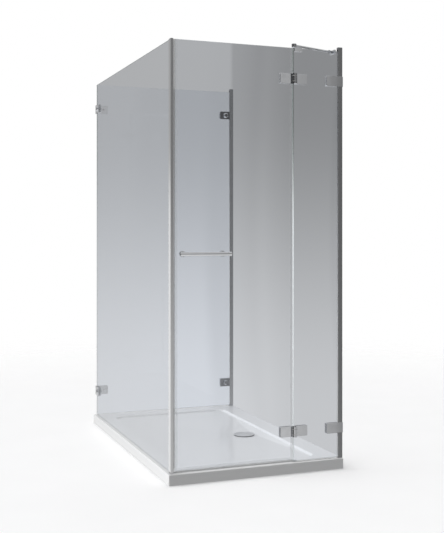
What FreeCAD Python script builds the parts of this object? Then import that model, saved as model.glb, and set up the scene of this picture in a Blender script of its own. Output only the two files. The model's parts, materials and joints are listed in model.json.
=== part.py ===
import FreeCAD, Part
import os

from FreeCAD import Vector

# A frameless glass shower cabin on its tray, closed on three sides and set against one wall.
# The front has a hinged door and a narrow fixed pane; a long side pane and a rear pane close the rest.
# Millimetres. Origin: centre of the tray's underside. +X runs to the wall, +Y to the rear, +Z up.

# Tray
tray_width = 900.0
tray_length = 1500.0
tray_height = 50.0
tray_corner_radius = 5.0
tray_edge_radius = 4.0
basin_side_rim = 105.0
basin_front_rim = 80.0
basin_rear_rim = 110.0
basin_corner_radius = 60.0
basin_step_depth = 10.0
basin_step_run = 9.0
basin_lip_radius = 2.5
basin_fall = 6.0
drain_from_wall = 233.0
drain_from_front = 722.0

# Waste and its cover
waste_flange_radius = 56.0
waste_flange_thickness = 3.0
waste_seal_thickness = 1.5
waste_throat_radius = 38.0
waste_socket_radius = 41.0
waste_socket_length = 12.0
waste_sleeve_radius = 45.0
waste_hole_clearance = 0.5
waste_foot_gap = 1.0
drain_flat_margin = 10.0
drain_flat_radius = 20.0
cover_radius = 57.0
cover_edge_thickness = 2.0
cover_dome_rise = 3.0
cover_water_gap = 3.0
cover_fin_count = 3
cover_fin_thickness = 5.0
cover_fin_depth = 6.0
cover_fin_inner_radius = 28.0
cover_fin_outer_radius = 47.0
cover_fin_clearance = 0.5
cover_foot_clearance = 0.3

# Glass
glass_thickness = 8.0
glass_height = 2000.0
glass_inset = 15.0
glass_arris = 0.8
glass_hole_radius = 6.0
joint_from_wall = 265.0
joint_gap = 6.0
rear_corner_gap = 2.0

# Corner strike post and its magnet strip
post_depth = 30.0
post_slot_depth = 14.0
post_wall = 1.2
post_cap_thickness = 3.0
cap_plug_depth = 8.0
cap_plug_clearance = 0.2
gasket_thickness = 1.0
magnet_groove_width = 5.0
magnet_groove_depth = 3.0
magnet_head_width = 8.0
magnet_head_depth = 3.0
magnet_gap = 0.8

# Wall profiles
profile_width = 24.0
profile_base = 4.0
profile_wall = 2.0
profile_above_glass = 17.0
profile_cap_thickness = 3.0
profile_edge_gap = 6.0
wall_screw_radius = 2.6
wall_screw_from_end = 120.0
wall_screw_count = 4

# Seals
clip_wall = 1.2
clip_ease = 0.15
clip_leg = 12.0
seal_head_depth = 5.5
seal_seam = 0.5
door_foot_gap = 12.0
wiper_thickness = 1.6
wiper_lean = 2.0
wiper_clearance = 0.7
clip_base = 2.0
foot_seal_height = 5.0
foot_seal_toe = 3.0
threshold_gap = 5.0
threshold_width = 12.0
threshold_height = 7.0
threshold_nose_height = 2.5
threshold_crest = 3.0
threshold_overlap = 20.0

# Hinges
hinge_from_edge = 150.0
hinge_height = 50.0
hinge_reach = 72.0
leaf_thickness = 6.0
clamp_thickness = 5.0
clamp_from_axis = 9.0
pad_thickness = 1.0
pad_inset = 1.0
plate_corner_radius = 4.0
plate_bevel = 1.0
knuckle_radius = 13.0
knuckle_gap = 0.3
knuckle_running_gap = 0.6
middle_knuckle_length = 24.0
washer_thickness = 1.2
washer_inset = 1.0
pin_radius = 4.0
pin_clearance = 0.05
pin_head_radius = 7.0
pin_head_height = 2.5
hinge_screw_from_axis = 44.0
hinge_screw_spacing = 26.0

# Clamping screws
screw_radius = 3.0
screw_head_radius = 5.0
screw_head_height = 3.0
screw_bite = 3.5
screw_clearance = 0.2

# Wall brackets and rear corner brackets
bracket_height = 50.0
bracket_reach = 90.0
bracket_thickness = 6.0
bracket_wall_gap = 0.5
bracket_screw_from_wall = 52.0
corner_reach = 72.0
corner_round = 5.0
corner_screw_from_corner = 44.0
dome_radius = 16.0
dome_height = 8.0
dome_edge_round = 6.0

# Brace from the fixed pane's top to the wall
brace_clamp_inset = 0.5
brace_clamp_length = 42.0
brace_clamp_wall = 5.0
brace_clamp_drop = 17.0
brace_clamp_top = 4.0
turret_radius = 12.0
turret_height = 17.0
turret_round = 2.0
turret_from_end = 2.0
brace_bar_radius = 6.0
brace_bar_clearance = 0.1
brace_socket_start = 2.0
brace_wall_offset = 95.0
brace_plate_length = 60.0
brace_plate_height = 20.0
brace_plate_thickness = 6.0
brace_plate_round = 4.0
brace_boss_radius = 9.0
brace_boss_length = 30.0
brace_bar_end_gap = 14.0
brace_screw_radius = 2.3
brace_screw_spacing = 42.0

# Door handle
handle_above_tray = 1010.0
handle_length = 252.0
handle_from_door_edge = 10.0
handle_post_inset = 28.0
handle_bar_radius = 10.0
handle_standoff = 48.0
handle_end_round = 2.0
handle_post_radius = 7.0
handle_flange_radius = 14.0
handle_flange_thickness = 4.0
handle_washer_thickness = 1.0
handle_cap_height = 7.0
handle_cap_round = 3.0

# One overrun for all cuts, and the tolerance for picking edges
overrun = 2.0
same_place = 0.001

RIGHT = Vector(1, 0, 0)
BACK = Vector(0, 1, 0)
UP = Vector(0, 0, 1)

# Planes and places that several pieces share
wall_x = tray_width / 2
left_x = glass_inset - tray_width / 2
front_y = glass_inset - tray_length / 2
rear_y = -front_y
rim_z = tray_height
glass_top = rim_z + glass_height
pane_foot = rim_z + foot_seal_height
door_foot = rim_z + door_foot_gap
side_inner_x = left_x + glass_thickness
front_inner_y = front_y + glass_thickness
front_middle_y = front_y + glass_thickness / 2
rear_inner_y = rear_y - glass_thickness
post_overhang = gasket_thickness + post_wall
post_width = glass_thickness + 2 * post_overhang
post_left = left_x - post_overhang
post_right = post_left + post_width
post_front = front_y - post_overhang
post_rear = post_front + post_depth
post_slot_bottom = post_rear - post_slot_depth
joint_x = wall_x - joint_from_wall
door_left = post_right + magnet_head_depth + magnet_gap + seal_head_depth
door_right = joint_x - joint_gap / 2
fixed_left = joint_x + joint_gap / 2
profile_mouth = wall_x - profile_width
pane_wall_edge = wall_x - profile_base - profile_edge_gap
profile_top = glass_top + profile_above_glass
hinge_y = front_y - pad_thickness - knuckle_radius
levels = {"upper": glass_top - hinge_from_edge, "lower": rim_z + hinge_from_edge}
bracket_screw_x = wall_x - bracket_screw_from_wall
corner_screw_x = left_x + corner_screw_from_corner
corner_screw_y = rear_y - corner_screw_from_corner
handle_z = rim_z + handle_above_tray
handle_left = door_left + handle_from_door_edge
handle_right = handle_left + handle_length
handle_post_places = (handle_left + handle_post_inset, handle_right - handle_post_inset)
drain_x = wall_x - drain_from_wall
drain_y = drain_from_front - tray_length / 2
drain_z = rim_z - basin_step_depth - basin_fall


def around(middle, size):
    """Span of a given size centred on a value."""
    return (middle - size / 2, middle + size / 2)


def block(x_span, y_span, z_span):
    """Box between three (low, high) spans."""
    low = Vector(x_span[0], y_span[0], z_span[0])
    high = Vector(x_span[1], y_span[1], z_span[1])
    size = high - low
    return Part.makeBox(size.x, size.y, size.z, low)


def prism(corners, push):
    """A closed outline pushed along a direction."""
    outline = Part.makePolygon(corners + corners[:1])
    return Part.Face(outline).extrude(push)


def upright(outline, z_span):
    """An outline in plan, pushed up through a height."""
    corners = [Vector(x, y, z_span[0]) for x, y in outline]
    return prism(corners, UP * (z_span[1] - z_span[0]))


def along_x(outline, x_span):
    """A section of (y, z) points, pushed along X."""
    corners = [Vector(x_span[0], y, z) for y, z in outline]
    return prism(corners, RIGHT * (x_span[1] - x_span[0]))


def rod(start, axis, radius, length):
    """Round bar from a start point."""
    return Part.makeCylinder(radius, length, start, axis)


def turned(outline, centre_x, centre_y):
    """A half section of (radius, z) points turned about an upright axis."""
    corners = [Vector(centre_x + radius, centre_y, z) for radius, z in outline]
    face = Part.Face(Part.makePolygon(corners + corners[:1]))
    return face.revolve(Vector(centre_x, centre_y, 0), UP, 360)


def edges_along(shape, axis):
    """Straight edges of a shape that run along an axis."""
    chosen = []
    for edge in shape.Edges:
        if edge.Curve.TypeId == "Part::GeomLine":
            if edge.tangentAt(edge.FirstParameter).cross(axis).Length < same_place:
                chosen.append(edge)
    return chosen


def edges_at(edges, axis, place):
    """Edges that lie wholly at one place along an axis."""
    chosen = []
    for edge in edges:
        ends = [vertex.Point.dot(axis) for vertex in edge.Vertexes]
        middle = edge.CenterOfMass.dot(axis)
        if all(abs(value - place) < same_place for value in ends + [middle]):
            chosen.append(edge)
    return chosen


def mirrored_front_to_rear(shape):
    """The same piece at the rear, where the cabin mirrors its front."""
    return shape.mirror(Vector(0, 0, 0), BACK)


def rounded_wire(x_span, y_span, radius, z):
    """Rectangle with round corners, at one height."""
    low_x, high_x = x_span
    low_y, high_y = y_span
    face = Part.makePlane(high_x - low_x, high_y - low_y, Vector(low_x, low_y, z))
    solid = face.extrude(UP * overrun)
    solid = solid.makeFillet(radius, edges_along(solid, UP))
    foot = [face for face in solid.Faces if abs(face.BoundBox.ZMax - z) < same_place]
    return foot[0].OuterWire


def plate(x_span, y_span, z_span, face_y):
    """Plate flat on a front pane: round corners, and bevelled edges on its show face."""
    body = block(x_span, y_span, z_span)
    body = body.makeFillet(plate_corner_radius, edges_along(body, BACK))
    return body.makeChamfer(plate_bevel, edges_at(body.Edges, BACK, face_y))


def dome(centre, axis):
    """Round cover button that stands on a plate, with a deeply rounded outer edge."""
    button = rod(centre, axis, dome_radius, dome_height)
    crown = (centre + axis * dome_height).dot(axis)
    return button.makeFillet(dome_edge_round, edges_at(button.Edges, axis, crown))


def clamp_screw(start, axis, grip):
    """Cheese-head screw: its head lies in the clamp plate, its tip bites the plate across the glass."""
    head = rod(start, axis, screw_head_radius, screw_head_height)
    return head.fuse(rod(start, axis, screw_radius, grip + screw_bite))


def screw_hole(start, axis, grip):
    """Room for a clamping screw in the plates that it joins."""
    head = rod(start, axis, screw_head_radius + screw_clearance, screw_head_height + screw_clearance)
    return head.fuse(rod(start, axis, screw_radius + screw_clearance, grip + screw_bite + screw_clearance))


def front_screw_start(x, z):
    """Where a screw starts, on a clamp plate inside the front."""
    return Vector(x, front_inner_y + pad_thickness + clamp_thickness, z)


clamp_grip = clamp_thickness + 2 * pad_thickness + glass_thickness


def glass_hole(x, y, z, axis):
    """Drilled hole through a pane and its pads, about a point on the pane's outer face."""
    reach = 2 * glass_thickness
    start = Vector(x, y, z) - axis * reach
    return rod(start, axis, glass_hole_radius, 2 * reach)


def pane(x_span, y_span, z_span):
    """Glass pane with ground edges."""
    body = block(x_span, y_span, z_span)
    return body.makeChamfer(glass_arris, body.Edges)


# Tray


def shower_tray():
    """Flat tray: a stepped basin whose floor falls from all sides to the waste."""
    body = block(around(0, tray_width), around(0, tray_length), (0, tray_height))
    body = body.makeFillet(tray_corner_radius, edges_along(body, UP))
    body = body.makeFillet(tray_edge_radius, edges_at(body.Edges, UP, tray_height))
    basin_x = (basin_side_rim - tray_width / 2, tray_width / 2 - basin_side_rim)
    basin_y = (basin_front_rim - tray_length / 2, tray_length / 2 - basin_rear_rim)
    floor_x = (basin_x[0] + basin_step_run, basin_x[1] - basin_step_run)
    floor_y = (basin_y[0] + basin_step_run, basin_y[1] - basin_step_run)
    floor_z = rim_z - basin_step_depth
    flat_size = 2 * (waste_flange_radius + drain_flat_margin)
    flat_x = around(drain_x, flat_size)
    flat_y = around(drain_y, flat_size)
    rim_wire = rounded_wire(basin_x, basin_y, basin_corner_radius, rim_z)
    floor_wire = rounded_wire(floor_x, floor_y, basin_corner_radius - basin_step_run, floor_z)
    flat_wire = rounded_wire(flat_x, flat_y, drain_flat_radius, drain_z)
    body = body.cut(Part.makeLoft([rim_wire, floor_wire], True, True))
    top_edges = edges_at(body.Edges, UP, rim_z)
    lip = [edge for edge in top_edges if abs(edge.BoundBox.Center.x) < basin_x[1] + same_place]
    lip = [edge for edge in lip if basin_y[0] - same_place < edge.CenterOfMass.y < basin_y[1] + same_place]
    body = body.makeFillet(basin_lip_radius, lip)
    body = body.cut(Part.makeLoft([floor_wire, flat_wire], True, True))
    seat_depth = waste_flange_thickness + waste_seal_thickness
    seat_radius = waste_flange_radius + waste_hole_clearance
    hole_radius = waste_sleeve_radius + waste_hole_clearance
    seat = rod(Vector(drain_x, drain_y, drain_z - seat_depth), UP, seat_radius, seat_depth + overrun)
    hole = rod(Vector(drain_x, drain_y, -overrun), UP, hole_radius, tray_height + overrun)
    return body.cut(seat).cut(hole).removeSplitter()


def waste_flange():
    """Waste: a flange in the tray's floor, with a sleeve whose foot is a socket for the drain pipe."""
    socket_top = waste_foot_gap + waste_socket_length
    under = drain_z - waste_flange_thickness
    return turned([
        (waste_throat_radius, drain_z), (waste_flange_radius, drain_z), (waste_flange_radius, under),
        (waste_sleeve_radius, under), (waste_sleeve_radius, waste_foot_gap),
        (waste_socket_radius, waste_foot_gap), (waste_socket_radius, socket_top),
        (waste_throat_radius, socket_top)], drain_x, drain_y)


def waste_seal():
    """Rubber ring under the waste's flange."""
    top = drain_z - waste_flange_thickness
    foot = top - waste_seal_thickness
    return turned([
        (waste_sleeve_radius, foot), (waste_flange_radius, foot), (waste_flange_radius, top),
        (waste_sleeve_radius, top)], drain_x, drain_y)


def drain_cover():
    """Loose domed cover: three fins stand on the flange and centre it in the waste's throat."""
    under = drain_z + cover_water_gap
    edge_top = under + cover_edge_thickness
    ball_radius = (cover_radius**2 + cover_dome_rise**2) / (2 * cover_dome_rise)
    centre = Vector(drain_x, drain_y, edge_top + cover_dome_rise - ball_radius)
    disc = rod(Vector(drain_x, drain_y, under), UP, cover_radius, cover_edge_thickness + cover_dome_rise)
    disc = disc.common(Part.makeSphere(ball_radius, centre))
    throat = waste_throat_radius - cover_fin_clearance
    foot = drain_z + cover_foot_clearance
    tip = drain_z - cover_fin_depth
    fin_outline = [
        (cover_fin_inner_radius, edge_top), (cover_fin_outer_radius, edge_top),
        (cover_fin_outer_radius, foot), (throat, foot), (throat, tip), (cover_fin_inner_radius, tip)]
    fin_y = drain_y - cover_fin_thickness / 2
    corners = [Vector(drain_x + radius, fin_y, z) for radius, z in fin_outline]
    fin = prism(corners, BACK * cover_fin_thickness)
    for turn in range(cover_fin_count):
        copy = fin.copy()
        copy.rotate(Vector(drain_x, drain_y, 0), UP, turn * 360 / cover_fin_count)
        disc = disc.fuse(copy)
    return disc.removeSplitter()


# Panes


def hinge_screw_places(side):
    """Centres (x, z) of the screws of both hinges on one side of the joint."""
    x = joint_x + side * hinge_screw_from_axis
    return [(x, level + shift) for level in levels.values()
            for shift in around(0, hinge_screw_spacing)]


def door_glass():
    """Door pane, drilled for its two hinges and its handle."""
    body = pane((door_left, door_right), (front_y, front_inner_y), (door_foot, glass_top))
    for x, z in hinge_screw_places(-1) + [(x, handle_z) for x in handle_post_places]:
        body = body.cut(glass_hole(x, front_y, z, BACK))
    return body


def fixed_panel_glass():
    """Narrow front pane between the door and the wall."""
    body = pane((fixed_left, pane_wall_edge), (front_y, front_inner_y), (pane_foot, glass_top))
    for x, z in hinge_screw_places(1) + [(bracket_screw_x, level) for level in levels.values()]:
        body = body.cut(glass_hole(x, front_y, z, BACK))
    return body


def side_panel_glass():
    """Long side pane, from the strike post to the rear corner."""
    y_span = (post_slot_bottom + gasket_thickness, rear_y)
    body = pane((left_x, side_inner_x), y_span, (pane_foot, glass_top))
    for level in levels.values():
        body = body.cut(glass_hole(left_x, corner_screw_y, level, RIGHT))
    return body


def rear_panel_glass():
    """Rear pane, from the side pane to the wall."""
    x_span = (side_inner_x + rear_corner_gap, pane_wall_edge)
    body = pane(x_span, (rear_inner_y, rear_y), (pane_foot, glass_top))
    for level in levels.values():
        for x in (corner_screw_x, bracket_screw_x):
            body = body.cut(glass_hole(x, rear_y, level, BACK))
    return body


# Strike post


post_slot_x = (left_x - gasket_thickness, side_inner_x + gasket_thickness)
post_chamber_x = (post_left + post_wall, post_right - magnet_groove_depth - post_wall)
post_chamber_y = (post_front + post_wall, post_slot_bottom - post_wall)


def corner_strike_profile():
    """Extruded post on the side pane's front edge: a glazing slot, a hollow chamber and a magnet groove."""
    heights = (rim_z, glass_top)
    cut_heights = (rim_z - overrun, glass_top + overrun)
    body = block((post_left, post_right), (post_front, post_rear), heights)
    slot = block(post_slot_x, (post_slot_bottom, post_rear + overrun), cut_heights)
    chamber = block(post_chamber_x, post_chamber_y, cut_heights)
    groove = block((post_right - magnet_groove_depth, post_right + overrun),
                   around(front_middle_y, magnet_groove_width), cut_heights)
    return body.cut(slot).cut(chamber).cut(groove)


def corner_profile_cap():
    """Cap on the post's top, plugged into its chamber."""
    top = glass_top + post_cap_thickness
    lid = block((post_left, post_right), (post_front, post_rear), (glass_top, top))
    lid = lid.makeChamfer(plate_bevel, edges_at(lid.Edges, UP, top))
    plug_x = (post_chamber_x[0] + cap_plug_clearance, post_chamber_x[1] - cap_plug_clearance)
    plug_y = (post_chamber_y[0] + cap_plug_clearance, post_chamber_y[1] - cap_plug_clearance)
    return lid.fuse(block(plug_x, plug_y, (glass_top - cap_plug_depth, glass_top)))


def corner_glazing_gasket():
    """U-shaped gasket between the post's slot and the side pane's edge."""
    low_x, high_x = post_slot_x
    base_y = post_slot_bottom + gasket_thickness
    return upright([
        (low_x, post_slot_bottom), (high_x, post_slot_bottom), (high_x, post_rear),
        (side_inner_x, post_rear), (side_inner_x, base_y), (left_x, base_y), (left_x, post_rear),
        (low_x, post_rear)], (pane_foot, glass_top))


def corner_magnet_strip():
    """Magnet strip keyed into the post's groove."""
    key_low, key_high = around(front_middle_y, magnet_groove_width)
    head_low, head_high = around(front_middle_y, magnet_head_width)
    key_x = post_right - magnet_groove_depth
    head_x = post_right + magnet_head_depth
    return upright([
        (key_x, key_low), (post_right, key_low), (post_right, head_low), (head_x, head_low),
        (head_x, head_high), (post_right, head_high), (post_right, key_high), (key_x, key_high)],
        (door_foot, glass_top))


# Wall profiles


profile_y = (front_y - gasket_thickness - profile_wall, front_inner_y + gasket_thickness + profile_wall)
profile_slot_y = (front_y - gasket_thickness, front_inner_y + gasket_thickness)
wall_screw_low = rim_z + wall_screw_from_end
wall_screw_high = profile_top - wall_screw_from_end


def front_wall_profile():
    """Channel on the wall that takes the fixed pane's edge, drilled for wall screws."""
    body = block((profile_mouth, wall_x), profile_y, (rim_z, profile_top))
    slot = block((profile_mouth - overrun, wall_x - profile_base), profile_slot_y,
                 (rim_z - overrun, profile_top + overrun))
    body = body.cut(slot)
    pitch = (wall_screw_high - wall_screw_low) / (wall_screw_count - 1)
    for index in range(wall_screw_count):
        centre = Vector(wall_x - profile_base - overrun, front_middle_y, wall_screw_low + index * pitch)
        body = body.cut(rod(centre, RIGHT, wall_screw_radius, profile_base + 2 * overrun))
    return body


def wall_profile_cap():
    """Cap on a wall profile's top, plugged into its channel."""
    top = profile_top + profile_cap_thickness
    lid = block((profile_mouth, wall_x), profile_y, (profile_top, top))
    lid = lid.makeChamfer(plate_bevel, edges_at(lid.Edges, UP, top))
    plug_x = (profile_mouth + profile_wall, wall_x - profile_base - cap_plug_clearance)
    plug_y = (profile_slot_y[0] + cap_plug_clearance, profile_slot_y[1] - cap_plug_clearance)
    return lid.fuse(block(plug_x, plug_y, (profile_top - cap_plug_depth, profile_top)))


def wall_profile_gaskets():
    """The two gasket strips that hold the fixed pane in its wall profile."""
    x_span = (profile_mouth, pane_wall_edge)
    outer = block(x_span, (profile_slot_y[0], front_y), (pane_foot, glass_top))
    inner = block(x_span, (front_inner_y, profile_slot_y[1]), (pane_foot, glass_top))
    return [outer, inner]


# Seals


def foot_section(low, high):
    """Section of a pane's foot seal: wide on the tray, as wide as the glass at its top."""
    return [(low - foot_seal_toe, rim_z), (high + foot_seal_toe, rim_z),
            (high, pane_foot), (low, pane_foot)]


def side_panel_foot_seal():
    """Seal under the side pane."""
    section = foot_section(left_x, side_inner_x)
    corners = [Vector(x, post_rear, z) for x, z in section]
    return prism(corners, BACK * (rear_y - post_rear))


def rear_panel_foot_seal():
    """Seal under the rear pane."""
    return along_x(foot_section(rear_inner_y, rear_y), (side_inner_x + foot_seal_toe, profile_mouth))


def fixed_panel_foot_seal():
    """Seal under the fixed front pane."""
    return along_x(foot_section(front_y, front_inner_y), (fixed_left, profile_mouth))


def rear_corner_seal():
    """Clear strip between the rear pane's edge and the side pane."""
    x_span = (side_inner_x + clip_ease, side_inner_x + rear_corner_gap)
    return block(x_span, (rear_inner_y, rear_y), (pane_foot, glass_top))


def threshold_strip():
    """Low rail on the tray behind the door's wiper."""
    nose_y = front_inner_y + threshold_gap
    tail_y = nose_y + threshold_width
    crest_z = rim_z + threshold_height
    return along_x([
        (nose_y, rim_z), (tail_y, rim_z), (tail_y, rim_z + threshold_nose_height),
        (nose_y + threshold_crest, crest_z), (nose_y, crest_z)],
        (post_right, fixed_left + threshold_overlap))


clip_front_y = front_y - clip_ease
clip_rear_y = front_inner_y + clip_ease


def edge_clip(edge_x, into_x, head_x, z_span):
    """Clip-on seal in plan: two legs along the pane's faces and a head in front of its edge."""
    outer_y = clip_front_y - clip_wall
    inner_y = clip_rear_y + clip_wall
    return upright([
        (head_x, outer_y), (into_x, outer_y), (into_x, clip_front_y), (edge_x, clip_front_y),
        (edge_x, clip_rear_y), (into_x, clip_rear_y), (into_x, inner_y), (head_x, inner_y)], z_span)


clip_low = door_foot + clip_leg + seal_seam


def door_magnet_seal():
    """Magnet seal clipped on the door's closing edge."""
    return edge_clip(door_left, door_left + clip_leg, door_left - seal_head_depth, (clip_low, glass_top))


def door_hinge_seal():
    """Seal clipped on the door's hinge edge, cut at the two hinges."""
    half = hinge_height / 2 + seal_seam
    stops = [clip_low, levels["lower"] - half, levels["lower"] + half, levels["upper"] - half,
             levels["upper"] + half, glass_top]
    head_x = fixed_left - magnet_gap
    spans = zip(stops[::2], stops[1::2])
    return [edge_clip(door_right, door_right - clip_leg, head_x, span) for span in spans]


def door_bottom_seal():
    """Wiper clipped under the door: its blade leans in and just clears the tray."""
    outer_y = clip_front_y - clip_wall
    inner_y = clip_rear_y + clip_wall
    leg_top = door_foot + clip_leg
    base_z = door_foot - clip_base
    tip_z = rim_z + wiper_clearance
    blade_y = front_inner_y - wiper_thickness
    return along_x([
        (outer_y, leg_top), (outer_y, base_z), (blade_y, base_z), (blade_y + wiper_lean, tip_z),
        (blade_y + wiper_lean + wiper_thickness, tip_z), (front_inner_y, base_z), (inner_y, base_z),
        (inner_y, leg_top), (clip_rear_y, leg_top), (clip_rear_y, door_foot), (clip_front_y, door_foot),
        (clip_front_y, leg_top)], (door_left, door_right))


# Hinges


leaf_y = (front_y - pad_thickness - leaf_thickness, front_y - pad_thickness)
clamp_y = (front_inner_y + pad_thickness, front_inner_y + pad_thickness + clamp_thickness)


def side_span(side, near, far):
    """Span along X from the hinge axis to one side: -1 is the door, 1 the fixed pane."""
    return tuple(sorted((joint_x + side * near, joint_x + side * far)))


def knuckle(low_z, high_z, radius):
    """Round length about the hinge axis."""
    return rod(Vector(joint_x, hinge_y, low_z), UP, radius, high_z - low_z)


def drilled_for_hinge(body, side):
    """Cuts the holes of one side's hinge screws."""
    for x, z in hinge_screw_places(side):
        body = body.cut(screw_hole(front_screw_start(x, z), -BACK, clamp_grip))
    return body


def leaf_plate(level, side):
    """Outer plate of a hinge leaf, from the axis outwards."""
    return plate(side_span(side, 0, hinge_reach), leaf_y, around(level, hinge_height), leaf_y[0])


def hinge_door_leaf(level):
    """Door leaf: a plate with a knuckle at its top and bottom."""
    low, high = around(level, hinge_height)
    middle = around(level, middle_knuckle_length + 2 * (washer_thickness + knuckle_gap))
    body = leaf_plate(level, -1).fuse(knuckle(low, high, knuckle_radius))
    body = body.cut(knuckle(middle[0], middle[1], knuckle_radius + knuckle_running_gap))
    body = body.cut(knuckle(low - overrun, high + overrun, pin_radius + pin_clearance))
    return drilled_for_hinge(body, -1).removeSplitter()


def hinge_fixed_leaf(level):
    """Fixed leaf: a plate with the middle knuckle, which carries the door."""
    low, high = around(level, hinge_height)
    middle = around(level, middle_knuckle_length)
    room = knuckle_radius + knuckle_running_gap
    body = leaf_plate(level, 1)
    body = body.cut(knuckle(low - overrun, middle[0], room)).cut(knuckle(middle[1], high + overrun, room))
    body = body.fuse(knuckle(middle[0], middle[1], knuckle_radius))
    body = body.cut(knuckle(low - overrun, high + overrun, pin_radius + pin_clearance))
    return drilled_for_hinge(body, 1).removeSplitter()


def hinge_pin(level):
    """Hinge pin with a button head on the upper knuckle."""
    low, high = around(level, hinge_height)
    head_z = high + knuckle_gap
    head = knuckle(head_z, head_z + pin_head_height, pin_head_radius)
    head = head.makeFillet(pin_head_height / 2, edges_at(head.Edges, UP, head_z + pin_head_height))
    return head.fuse(knuckle(low, head_z, pin_radius))


def hinge_washers():
    """Plastic washers between the knuckles; they turn with the door."""
    washers = []
    for level in levels.values():
        inner = middle_knuckle_length / 2 + knuckle_gap
        for low in (level + inner, level - inner - washer_thickness):
            ring = knuckle(low, low + washer_thickness, knuckle_radius - washer_inset)
            washers.append(ring.cut(knuckle(low - overrun, low + overrun, pin_radius + pin_clearance)))
    return washers


def hinge_clamp(level, side):
    """Clamp plate of a hinge leaf, inside the glass."""
    x_span = side_span(side, clamp_from_axis, hinge_reach)
    body = plate(x_span, clamp_y, around(level, hinge_height), clamp_y[1])
    return drilled_for_hinge(body, side)


def hinge_pads(side):
    """Rubber pads on both faces of the glass, under the leaf and under the clamp plate."""
    x_span = side_span(side, clamp_from_axis + pad_inset, hinge_reach - pad_inset)
    pads = []
    for level in levels.values():
        z_span = around(level, hinge_height - 2 * pad_inset)
        for y_span in ((leaf_y[1], front_y), (front_inner_y, clamp_y[0])):
            pad = block(x_span, y_span, z_span)
            for x, z in hinge_screw_places(side):
                pad = pad.cut(glass_hole(x, front_y, z, BACK))
            pads.append(pad)
    return pads


def hinge_screws(side):
    """Screws of one side of both hinges."""
    return [clamp_screw(front_screw_start(x, z), -BACK, clamp_grip) for x, z in hinge_screw_places(side)]


# Wall brackets, made for the front and mirrored for the rear


bracket_free_x = wall_x - bracket_reach


def wall_bracket(level):
    """Outer bracket: it clamps the pane and steps over the wall profile to the wall."""
    glass_side = front_y - pad_thickness
    over_profile = profile_y[0] - bracket_wall_gap
    show_face = over_profile - bracket_thickness
    step_x = profile_mouth - bracket_wall_gap
    body = upright([
        (bracket_free_x, show_face), (wall_x, show_face), (wall_x, over_profile), (step_x, over_profile),
        (step_x, glass_side), (bracket_free_x, glass_side)], around(level, bracket_height))
    ends = edges_at(edges_along(body, BACK), RIGHT, bracket_free_x)
    body = body.makeFillet(plate_corner_radius, ends)
    body = body.makeChamfer(plate_bevel, edges_at(body.Edges, BACK, show_face))
    return body.cut(screw_hole(front_screw_start(bracket_screw_x, level), -BACK, clamp_grip))


def wall_bracket_clamp(level):
    """Clamp plate of a wall bracket, inside the glass."""
    x_span = (bracket_free_x, profile_mouth - bracket_wall_gap)
    body = plate(x_span, clamp_y, around(level, bracket_height), clamp_y[1])
    return body.cut(screw_hole(front_screw_start(bracket_screw_x, level), -BACK, clamp_grip))


def wall_bracket_pads(level):
    """Pads of one wall bracket, on both faces of the glass."""
    x_span = (bracket_free_x + pad_inset, profile_mouth - bracket_wall_gap - pad_inset)
    z_span = around(level, bracket_height - 2 * pad_inset)
    hole = glass_hole(bracket_screw_x, front_y, level, BACK)
    y_spans = ((front_y - pad_thickness, front_y), (front_inner_y, clamp_y[0]))
    return [block(x_span, y_span, z_span).cut(hole) for y_span in y_spans]


def wall_bracket_screw(level):
    """Screw of one wall bracket."""
    return clamp_screw(front_screw_start(bracket_screw_x, level), -BACK, clamp_grip)


def wall_bracket_dome(level):
    """Cover button over a wall bracket's screw."""
    return dome(front_screw_start(bracket_screw_x, level), BACK)


# Rear corner brackets


corner_end_x = left_x + corner_reach
corner_end_y = rear_y - corner_reach
corner_side_inner = side_inner_x + pad_thickness
corner_rear_inner = rear_inner_y - pad_thickness
corner_side_outer = left_x - pad_thickness
corner_rear_outer = rear_y + pad_thickness


def corner_screw_starts(level):
    """Start point and axis of the two screws of a corner bracket, from inside the cabin."""
    side_start = Vector(corner_side_inner + clamp_thickness, corner_screw_y, level)
    rear_start = Vector(corner_screw_x, corner_rear_inner - clamp_thickness, level)
    return [(side_start, -RIGHT), (rear_start, BACK)]


def finished_corner(body, level):
    """Rounds the free ends of an angle bracket and drills it."""
    ends = edges_at(edges_along(body, BACK), RIGHT, corner_end_x)
    ends += edges_at(edges_along(body, RIGHT), BACK, corner_end_y)
    body = body.makeFillet(plate_corner_radius, ends)
    for start, axis in corner_screw_starts(level):
        body = body.cut(screw_hole(start, axis, clamp_grip))
    return body


def corner_bracket(level):
    """Outer angle that joins the rear pane to the side pane."""
    side_face = corner_side_outer - bracket_thickness
    rear_face = corner_rear_outer + bracket_thickness
    body = upright([
        (side_face, corner_end_y), (corner_side_outer, corner_end_y),
        (corner_side_outer, corner_rear_outer), (corner_end_x, corner_rear_outer),
        (corner_end_x, rear_face), (side_face, rear_face)],
        around(level, bracket_height))
    outer_edge = edges_at(edges_at(edges_along(body, UP), RIGHT, side_face), BACK, rear_face)
    body = body.makeFillet(corner_round, outer_edge)
    return finished_corner(body, level)


def corner_bracket_clamp(level):
    """Inner angle, clamped against the outer one through the glass."""
    side_face = corner_side_inner + clamp_thickness
    rear_face = corner_rear_inner - clamp_thickness
    body = upright([
        (corner_side_inner, corner_end_y), (side_face, corner_end_y), (side_face, rear_face),
        (corner_end_x, rear_face), (corner_end_x, corner_rear_inner),
        (corner_side_inner, corner_rear_inner)],
        around(level, bracket_height))
    return finished_corner(body, level)


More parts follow.
